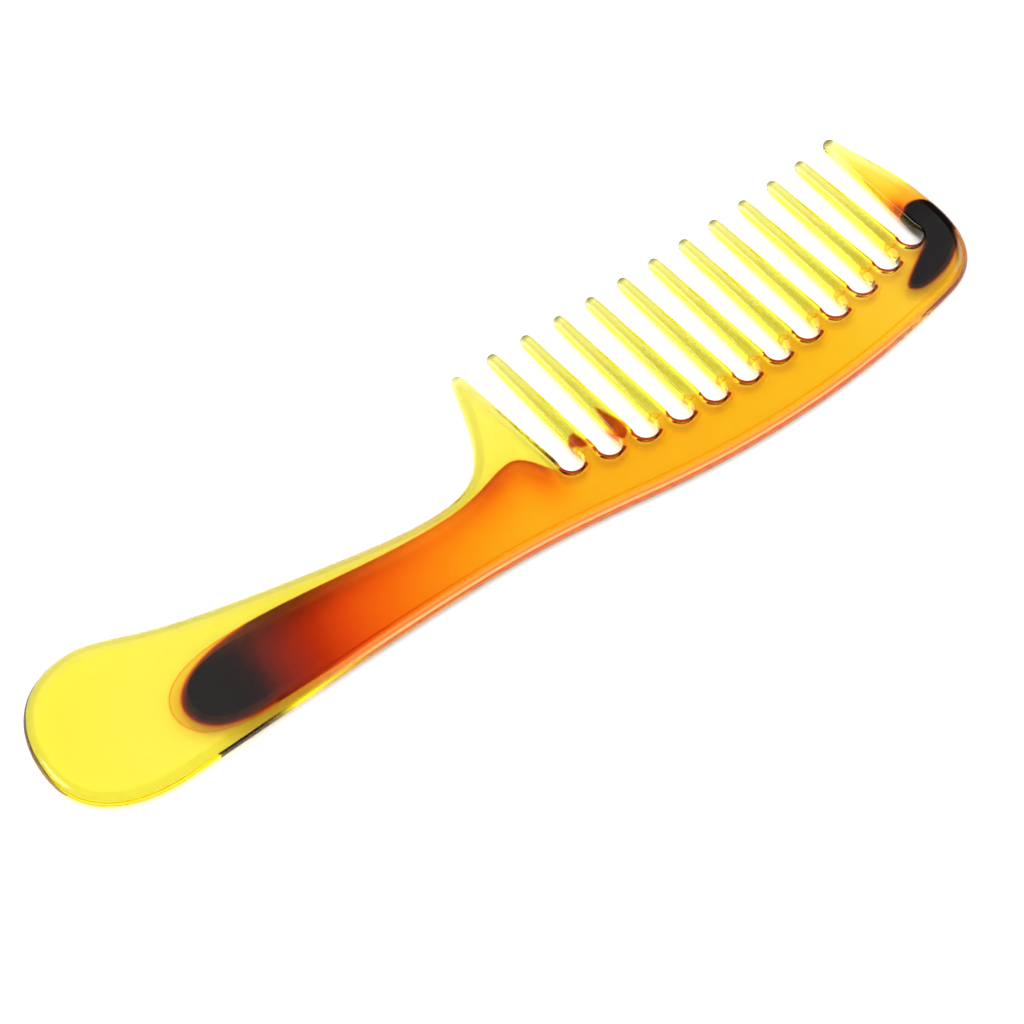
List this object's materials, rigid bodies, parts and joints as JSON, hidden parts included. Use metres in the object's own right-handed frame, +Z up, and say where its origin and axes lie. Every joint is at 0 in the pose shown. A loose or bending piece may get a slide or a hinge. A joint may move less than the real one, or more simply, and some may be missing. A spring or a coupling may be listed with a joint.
{
  "type": "wide tooth comb",
  "caption": "Flat handled comb with long widely spaced round-tipped teeth, moulded in clear yellow with an amber back, for detangling hair.",
  "frame": {"origin": "middle of the bounding box, on the underside that lies on the table", "axes": "+X along the comb from the handle's end to the far tooth, +Y from the back to the tooth tips, +Z up through the plate"},
  "size_m": [0.2268, 0.0518, 0.0036],
  "materials": {
    "clear_yellow": "polished clear yellow",
    "amber": "polished clear amber",
    "dark_brown": "dark tortoiseshell brown"
  },
  "bodies": {
    "root": {"amber_back": "amber", "corner_core": "dark_brown", "end_tooth": "clear_yellow", "grip_core": "dark_brown", "handle_shell": "clear_yellow", "heel_tooth": "clear_yellow", "tooth_02": "clear_yellow", "tooth_03": "clear_yellow", "tooth_04": "clear_yellow", "tooth_05": "clear_yellow", "tooth_06": "clear_yellow", "tooth_07": "clear_yellow", "tooth_08": "clear_yellow", "tooth_09": "clear_yellow", "tooth_10": "clear_yellow", "tooth_11": "clear_yellow", "tooth_12": "clear_yellow"}
  },
  "joints": []
}
